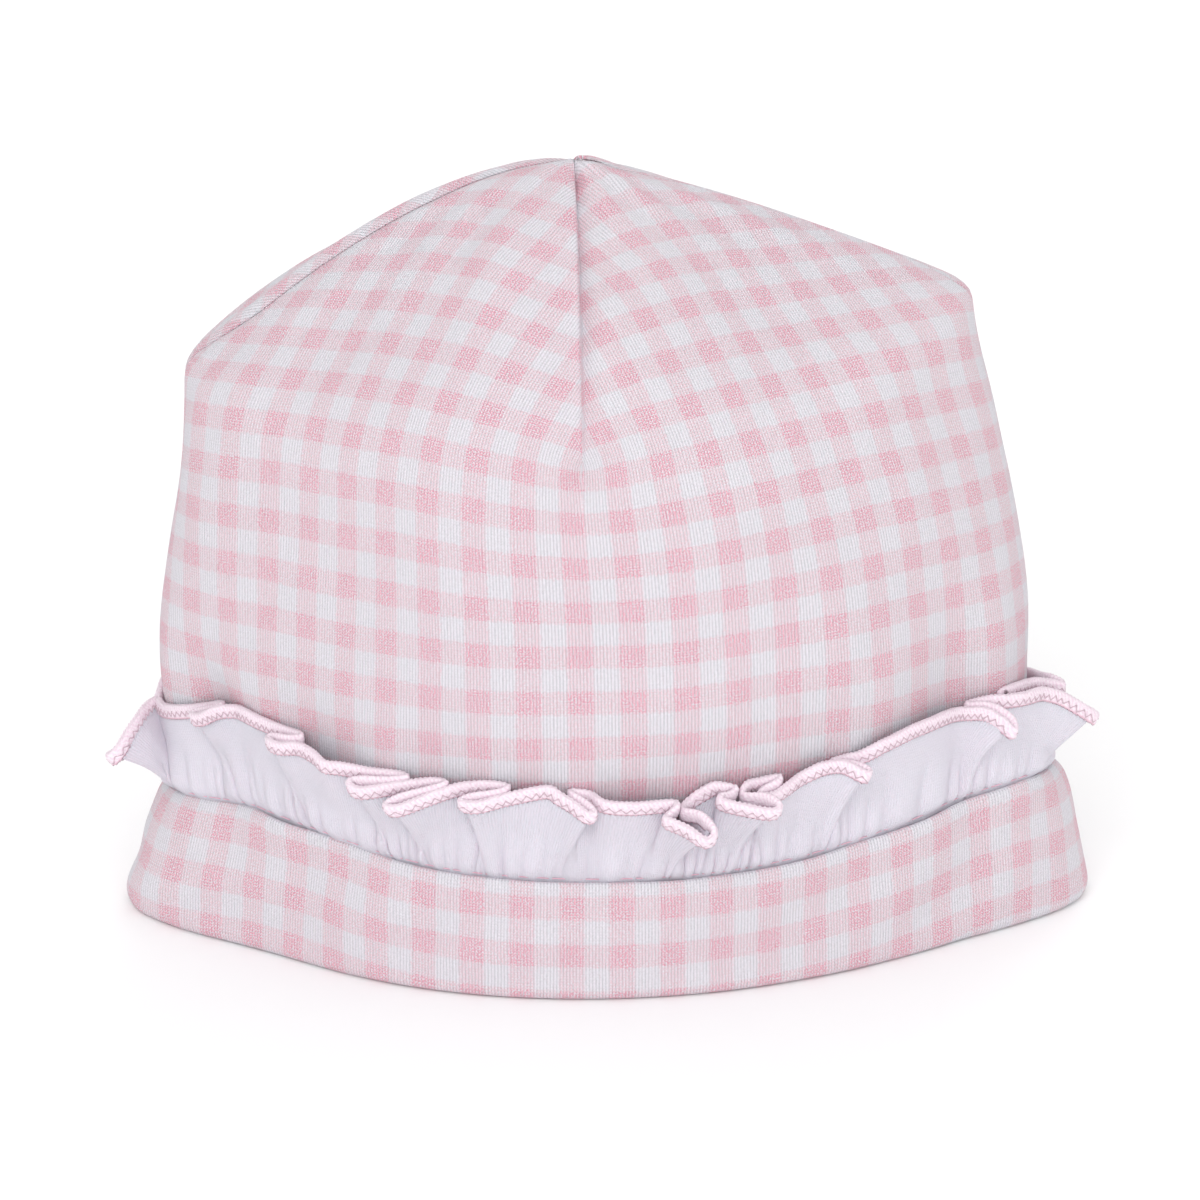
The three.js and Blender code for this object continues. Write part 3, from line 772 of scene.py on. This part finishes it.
def make_ruffle():
    columns, rows = STATIONS // RUFFLE_EVERY, len(RUFFLE_ROWS) - 1

    def place(across, up):
        return ruffle_point(grid_step(across, STATIONS), np.array(RUFFLE_ROWS)[grid_step(up, rows)])

    def cloth(across, up):
        return across / 2 * EDGE_LENGTH, np.array(RUFFLE_ROWS)[grid_step(up, rows)]

    piece = new_piece("ruffle_frill", cloth_grid(columns, rows, place, cloth))
    add_wall(piece, RUFFLE_WALL, 0)
    return piece


def ruffle_row_length(distance):
    """Length of the ruffle all round, at a distance from the cuff's top."""
    points = ruffle_point(np.arange(STATIONS + 1), np.float64(distance))
    return np.linalg.norm(np.diff(points, axis=0), axis=1).sum()


STITCH = 0.72
# Section of the overlocked edge, wrapped over the end of the cloth: along the cloth, and out from its middle
WRAP = [
    (-2.35, 0.46), (-1.9, 0.6), (-1.2, 0.64), (-0.5, 0.58), (-0.12, 0.36),
    (0.0, 0.0), (-0.12, -0.36), (-0.5, -0.58), (-1.2, -0.64), (-1.9, -0.6),
    (-2.3, -0.48), (-2.2, -0.46), (-1.0, -0.46), (-1.0, 0.46), (-2.2, 0.46),
]
WRAP_MIDDLE = -1.2
# Of the section's places, this many lie on the threads' outer side, which they raise by a ridge each
THREAD_ROWS = 11
RIDGE = 0.08
# How far the edge stands upright, as a share, where the cloth below it leans
UPRIGHT = 0.45
# The edge's direction is taken over this many stations to each side, and its lean over this length below
AHEAD = 6
BELOW = 2.4


def unit(directions):
    return directions / np.linalg.norm(directions, axis=-1, keepdims=True)


def edge_frame(station):
    """At a station of the free edge: its place, the way up the cloth and the way out of its outer face."""
    ahead, behind = (station + AHEAD) % STATIONS, (station - AHEAD) % STATIONS
    free_edge = np.float64(RUFFLE_HEIGHT)
    here = ruffle_point(station % STATIONS, free_edge)
    up = unit(here - ruffle_point(station % STATIONS, free_edge - BELOW))
    along = unit(ruffle_point(ahead, free_edge) - ruffle_point(behind, free_edge))
    up = up * (1 - UPRIGHT) + (0, 0, UPRIGHT)
    up = unit(up - along * np.sum(along * up, axis=-1, keepdims=True))
    return here, up, unit(np.cross(along, up))


def make_edging():
    columns, rows = STATIONS, len(WRAP)
    spots = np.arange(STATIONS + 1) * EDGE_LENGTH / STATIONS
    here, upward, outward = edge_frame(np.arange(STATIONS + 1))

    def wrapped(across, up):
        """The station, the place in the section and how far along the edge the thread lies there."""
        station, row = grid_step(across, STATIONS), grid_step(up, rows) % rows
        along, out = np.array(WRAP)[row].T
        return station, row, along, out, spots[station] + np.where(out > 0, 0.5, -0.5) * (along - WRAP_MIDDLE)

    def place(across, up):
        station, row, along, out, thread = wrapped(across, up)
        ridge = np.where(row < THREAD_ROWS, RIDGE * np.cos(2 * np.pi * thread / STITCH), 0)
        out = out + np.sign(out) * ridge
        from_middle = along - WRAP_MIDDLE
        along = along + np.where(np.abs(from_middle) > 0.7, np.sign(from_middle) * ridge, 0)
        return here[station] + upward[station] * along[:, None] + outward[station] * out[:, None]

    def cloth(across, up):
        _, _, along, _, thread = wrapped(across, up)
        return thread, along

    bm = cloth_grid(columns, rows, place, cloth)
    bmesh.ops.recalc_face_normals(bm, faces=bm.faces)
    return new_piece("overlocked_edge", bm)


# The needle thread runs to and fro between these distances below the free edge, outside the cloth's middle
NEEDLE_HIGH, NEEDLE_LOW = 0.95, 1.85
NEEDLE_OUT = 0.68
NEEDLE_THICKNESS = 0.2
# The stitches along the cuff's top edge: the share of each that shows, from and to, how far above and
# inside the outer face's top they lie, and their thickness
STITCH_FROM, STITCH_TO = 0.1, 0.9
STITCH_ABOVE, STITCH_INSIDE = 0.24, 0.95
STITCH_THICKNESS = 0.18


def thread_piece(name, strokes, thickness):
    """Short threads, each from one place to another."""
    bm = bmesh.new()
    for start, end in strokes:
        run = Vector(end) - Vector(start)
        turn = Vector((0, 0, 1)).rotation_difference(run.normalized()).to_matrix().to_4x4()
        middle = Matrix.Translation((Vector(start) + Vector(end)) / 2)
        bmesh.ops.create_cone(bm, cap_ends=True, segments=6, radius1=thickness * mm / 2,
                              radius2=thickness * mm / 2, depth=run.length, matrix=middle @ turn)
    return new_piece(name, bm)


def make_needle_thread():
    here, upward, outward = edge_frame(np.arange(STATIONS))
    count = round(EDGE_LENGTH / STITCH / 2) * 2
    draw = np.random.default_rng(3)
    corners = []
    for corner in range(count):
        spot = int((corner + draw.uniform(-0.12, 0.12)) * STATIONS / count) % STATIONS
        down = (NEEDLE_HIGH if corner % 2 else NEEDLE_LOW) + draw.uniform(-0.1, 0.1)
        corners.append(here[spot] - upward[spot] * down + outward[spot] * NEEDLE_OUT)
    strokes = [in_frame([corner, corners[(k + 1) % count]]) for k, corner in enumerate(corners)]
    return thread_piece("overlock_needle_thread", strokes, NEEDLE_THICKNESS)


def make_cuff_stitches():
    strokes = []
    count = int((HOOP_LENGTHS[-1] - HOOP_LENGTHS[0]) / CUFF_STITCH)
    for stitch in range(count):
        spots = HOOP_LENGTHS[0] + CUFF_STITCH * (stitch + np.array([STITCH_FROM, STITCH_TO]))
        ends = []
        for turn in np.interp(spots, HOOP_LENGTHS, HOOP_TURNS):
            height, offset = round_the_cuff(turn, 3) + STITCH_ABOVE, round_the_cuff(turn, 2) - STITCH_INSIDE
            ends.append(outline_point(turn, height, offset))
        strokes.append(in_frame(ends))
    return thread_piece("cuff_edge_stitches", strokes, STITCH_THICKNESS)


# Finishes
def reckoned(operation, reflected=False):
    """An operator of Value that adds the Math node for its operation."""
    return lambda this, other: this.reckon(operation, *((other, this) if reflected else (this, other)))


class Value:
    """A number that varies over a surface. Reckoning with it adds the nodes for it."""

    def __init__(self, finish, socket):
        self.finish, self.socket = finish, socket

    def reckon(self, operation, *numbers):
        return self.finish.node("ShaderNodeMath", {"operation": operation}, dict(enumerate(numbers)))

    __add__ = __radd__ = reckoned("ADD")
    __sub__, __rsub__ = reckoned("SUBTRACT"), reckoned("SUBTRACT", reflected=True)
    __mul__ = __rmul__ = reckoned("MULTIPLY")
    __truediv__ = reckoned("DIVIDE")

    def part(self):
        return self.reckon("FRACT", self)

    def size(self):
        return self.reckon("ABSOLUTE", self)

    def wave(self):
        """A wave from -1 to 1 that repeats each time this value grows by 1."""
        return self.reckon("SINE", self * (2 * math.pi))

    def kept(self, low=0, high=1):
        return self.reckon("MINIMUM", self.reckon("MAXIMUM", self, low), high)


class Finish:
    """One material, with what varies over it added node by node."""

    def __init__(self, name, **constants):
        self.material = bpy.data.materials.new(name)
        self.material.use_nodes = True
        self.tree = self.material.node_tree
        self.shader = self.tree.nodes["Principled BSDF"]
        self.shader.subsurface_method = "BURLEY"
        for socket, value in constants.items():
            self.shader.inputs[socket.replace("_", " ")].default_value = value

    def node(self, kind, settings=None, values=None, output=0):
        made = self.tree.nodes.new(kind)
        for key, setting in (settings or {}).items():
            setattr(made, key, setting)
        for socket, value in (values or {}).items():
            if isinstance(value, Value):
                self.tree.links.new(value.socket, made.inputs[socket])
            else:
                made.inputs[socket].default_value = value
        return Value(self, made.outputs[output])

    def cloth_place(self):
        """The place on the flat cloth in millimetres, whole and in its two parts."""
        place = self.node("ShaderNodeUVMap", {"uv_map": "cloth"})
        return place, *(self.node("ShaderNodeSeparateXYZ", None, {0: place}, part) for part in (0, 1))

    def noise(self, place, scale, detail=1.0):
        """Soft random patches from 0 to 1."""
        settings, values = {"noise_dimensions": "2D"}, {"Vector": place, "Scale": scale, "Detail": detail}
        return self.node("ShaderNodeTexNoise", settings, values)

    def blend(self, share, first, second):
        return self.node("ShaderNodeMix", {"data_type": "RGBA"}, {0: share, 6: first, 7: second}, 2)

    def darker(self, shade, share):
        return self.blend(share, shade, (0, 0, 0, 1))

    def wear(self, **parts):
        for socket, value in parts.items():
            self.tree.links.new(value.socket, self.shader.inputs[socket.replace("_", " ")])

    def raised(self, height, depth):
        """A surface raised by height, 0 to 1, times a depth in millimetres."""
        return self.node("ShaderNodeBump", None, {"Height": height, "Distance": depth * mm, "Strength": 1.0})


def colour(red, green, blue):
    """A screen colour, 0 to 255, as the shader takes it."""
    return (*(((c / 255 + 0.055) / 1.055) ** 2.4 for c in (red, green, blue)), 1)


# The gingham's check, and the knit's ribs and rows, in mm
CHECK = 8
WALE = 0.52
COURSE = 0.46
# How far the stripes' edges wander and how softly they end, in mm
EDGE_WANDER = 0.9
EDGE_SOFTNESS = 0.35
GINGHAM_RELIEF, PLAIN_RELIEF = 0.18, 0.1
# How much painted shade darkens the knit where it lies low, between its ribs and loops, at most
GINGHAM_GROOVE_SHADE, PLAIN_GROOVE_SHADE = 0.4, 0.12
# The overlocked edge is pinker from this far below the free edge on
RIM_FROM, RIM_SOFTNESS = 1.85, 0.3
# A knit scatters light all over, and lets it go a little way in, red the furthest
KNIT = {
    "Sheen_Weight": 0.15, "Sheen_Roughness": 0.5, "Specular_IOR_Level": 0.15,
    "Subsurface_Weight": 0.35, "Subsurface_Radius": (1.0, 0.6, 0.65), "Subsurface_Scale": 0.003,
}


def knit_loops(finish, u, v, place):
    """Height of interlock knit, ribs along the wales broken into loops that lean to and fro, and the
    loops alone."""
    rib = (u / WALE).part()
    lean = (rib - 0.5).size()
    loops = (v / COURSE + lean * 1.4).wave() * 0.5 + 0.5
    rounded = 1 - (lean * 2) * (lean * 2)
    grain = (finish.noise(place, 2.7) - 0.5) * 1.6
    return (rounded * 0.55 + loops * 0.25 + 0.1 + grain * 0.35).kept(), loops


def gingham(name, white, middle, full, across_at, up_at):
    """Knit printed with stripes both ways, one of them centred at each of the two places given."""
    finish = Finish(name, Roughness=0.92, **KNIT)
    place, u, v = finish.cloth_place()
    height, loops = knit_loops(finish, u, v, place)
    ragged = (finish.noise(place, 2.1) - 0.5) * EDGE_WANDER
    stripes = []
    for along, start in ((u, across_at), (v, up_at)):
        away = (((along - start) / CHECK + 100.5).part() - 0.5).size() * CHECK
        stripes.append(((CHECK / 4 - away + ragged) / EDGE_SOFTNESS + 0.5).kept())
    tint = stripes[0] + stripes[1]
    shade = finish.blend((tint - 1).kept(), finish.blend(tint.kept(), white, middle), full)
    specks = ((finish.noise(place, 4.2) - 0.48) * 7 + (loops - 0.45) * 1.3).kept()
    paler = finish.blend(specks * tint.kept(), shade, white)
    # Painted shade: the colour is darkened where the knit lies low, between its ribs and loops, and at random
    # with its grain
    groove_shaded = finish.darker(paler, (1 - height) * GINGHAM_GROOVE_SHADE)
    finish.wear(Base_Color=groove_shaded, Normal=finish.raised(height, GINGHAM_RELIEF))
    return finish.material


def plain_knit(name, tone):
    finish = Finish(name, Roughness=0.9, **KNIT)
    place, u, v = finish.cloth_place()
    height = knit_loops(finish, u, v, place)[0]
    # Painted shade: the white knit is darkened where it lies low, between its ribs and loops
    groove_shaded = finish.darker(tone, (1 - height) * PLAIN_GROOVE_SHADE)
    finish.wear(Base_Color=groove_shaded, Normal=finish.raised(height, PLAIN_RELIEF))
    return finish.material


def overlock(name, light, shade_between_loops, rim):
    """Looped threads side by side, darkened between them as painted shade that random hairs break up, and
    pinker at the lower rim.
    """
    finish = Finish(name, Roughness=0.8, Sheen_Weight=0.2, Specular_IOR_Level=0.2)
    place, u, v = finish.cloth_place()
    hairs = finish.noise(place, 3.0, 2.0)
    # Painted shade between the loops, broken up at random by the hairs
    gap = ((u / STITCH + 0.25).wave() * -0.5 + 0.5) * 0.7 + (hairs - 0.5) * 2.4
    shade = finish.blend(gap.kept(), light, shade_between_loops)
    rimmed = finish.blend(((v * -1 - RIM_FROM) / RIM_SOFTNESS).kept(0, 0.8), shade, rim)
    finish.wear(Base_Color=rimmed, Normal=finish.raised(hairs, 0.16))
    return finish.material


def thread(name, light, dark):
    finish = Finish(name, Roughness=0.75, Sheen_Weight=0.2, Specular_IOR_Level=0.25)
    place = finish.node("ShaderNodeTexCoord", None, None, 3)
    hairs = finish.node("ShaderNodeTexNoise", None, {"Vector": place, "Scale": 2600.0, "Detail": 2.0})
    finish.wear(Base_Color=finish.blend(hairs, light, dark), Normal=finish.raised(hairs, 0.12))
    return finish.material


# Where the stripes lie on the flat cloth, across and up, so that they fall as in the photo
CROWN_STRIPES = (6.48, 1.45)
CUFF_STRIPES = (6.25, -4.2)
WHITE = colour(229, 225, 232)
HALF_PINK = colour(231, 203, 212)
PINK = colour(232, 170, 186)
PALE_HALF_PINK = colour(226, 212, 218)
PALE_PINK = colour(226, 198, 208)
gingham_outside = gingham("gingham_knit", WHITE, HALF_PINK, PINK, *CROWN_STRIPES)
gingham_inside = gingham("gingham_knit_wrong_side", WHITE, PALE_HALF_PINK, PALE_PINK, *CROWN_STRIPES)
cuff_cloth = gingham("gingham_knit_cuff", WHITE, HALF_PINK, PINK, *CUFF_STRIPES)
white_cloth = plain_knit("white_knit", colour(216, 212, 222))
# The second colour of the overlocked edge is painted shade between its loops
pink_thread = overlock("pink_overlock_thread", light=colour(242, 229, 237),
                       shade_between_loops=colour(232, 208, 222), rim=colour(238, 196, 211))
needle_thread = thread("grey_pink_needle_thread", colour(216, 192, 202), colour(190, 166, 177))
stitch_thread = thread("pink_stitching", colour(228, 184, 199), colour(214, 166, 184))


def finished(piece, slot, materials, *replaced):
    """The piece with its materials, riding on the part's body in place of the solid nodes it replaces."""
    for material in materials:
        piece.data.materials.append(material)
    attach(piece, "root")
    if replaced:
        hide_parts(*replaced)
    return piece


# Pieces, the floor and the cloth
front_panel = crown_panel("crown_front_panel", 0, pulled)
back_panel = crown_panel("crown_back_panel", 180)
crown_front = finished(front_panel, "gingham_knit", (gingham_outside, gingham_inside), "crown_front")
crown_back = finished(back_panel, "gingham_knit", (gingham_outside, gingham_inside), "crown_back")
cuff_piece, section_length = make_cuff()
cuff = finished(cuff_piece, "gingham_knit", (cuff_cloth, cuff_cloth), "cuff")
ruffle = finished(make_ruffle(), "white_knit", (white_cloth, white_cloth), "ruffle")
edging = finished(make_edging(), "pink_thread", (pink_thread,), "ruffle_edging")
needle = finished(make_needle_thread(), "pink_thread", (needle_thread,))
stitches = finished(make_cuff_stitches(), "pink_thread", (stitch_thread,))

FLOOR_REACH = 6
FLOOR_WHITE = (0.96, 0.96, 0.96, 1)
floor_mesh = bmesh.new()
bmesh.ops.create_grid(floor_mesh, x_segments=1, y_segments=1, size=FLOOR_REACH)
floor = new_piece("floor", floor_mesh)
floor_finish = Finish("pale_floor", Base_Color=FLOOR_WHITE, Roughness=0.95, Specular_IOR_Level=0.1)
floor.data.materials.append(floor_finish.material)


def panel_cut(piece):
    """The flat size of a crown panel in metres, and the area of its cut."""
    width, length = np.ptp(map_places(piece, "cloth"), axis=0) * mm
    return (width, length), sum(face.area for face in piece.data.polygons)


for panel in (crown_front, crown_back):
    flat_size, flat_area = panel_cut(panel)
# The ruffle is a strip cut to a shallow curve, longer at its free edge than where it is sewn in
free_length, sewn_length = (ruffle_row_length(distance) * mm for distance in (RUFFLE_ROWS[-1], 0.0))


# Camera and light
PICTURE_WIDTH = 0.192
ELEVATION = math.radians(22)
PICTURE_MIDDLE = Vector((0.00004, 0.00076, 0.0521))
camera = bpy.data.objects.new("camera", bpy.data.cameras.new("camera"))
bpy.context.scene.collection.objects.link(camera)
camera.data.lens, camera.data.sensor_width = 400, 36
camera.data.clip_end = 20
away = PICTURE_WIDTH * camera.data.lens / camera.data.sensor_width
camera.location = PICTURE_MIDDLE + Vector((0, -math.cos(ELEVATION), math.sin(ELEVATION))) * away
camera.rotation_euler = (math.pi / 2 - ELEVATION, 0, 0)
bpy.context.scene.camera = camera
bpy.context.scene.view_settings.view_transform = "Standard"

WORLD_LIGHT = 0.92
LIT_PLACE = Vector((0, 0, 0.05))
world = bpy.data.worlds.new("studio")
bpy.context.scene.world = world
world.use_nodes = True
background = world.node_tree.nodes["Background"]
background.inputs["Color"].default_value = (1, 1, 1, 1)
background.inputs["Strength"].default_value = WORLD_LIGHT


def softbox(name, place, size, power):
    """A round soft light, facing the hat."""
    light = bpy.data.objects.new(name, bpy.data.lights.new(name, "AREA"))
    light.data.shape, light.data.size, light.data.energy = "DISK", size, power
    light.location = place
    light.rotation_euler = (LIT_PLACE - Vector(place)).to_track_quat("-Z", "Y").to_euler()
    bpy.context.scene.collection.objects.link(light)


softbox("key", (-0.7, -2.4, 2.0), 1.6, 22)
softbox("low_front", (0.5, -2.8, 0.75), 1.4, 18)
softbox("behind", (0.6, 2.4, 1.8), 1.6, 11)
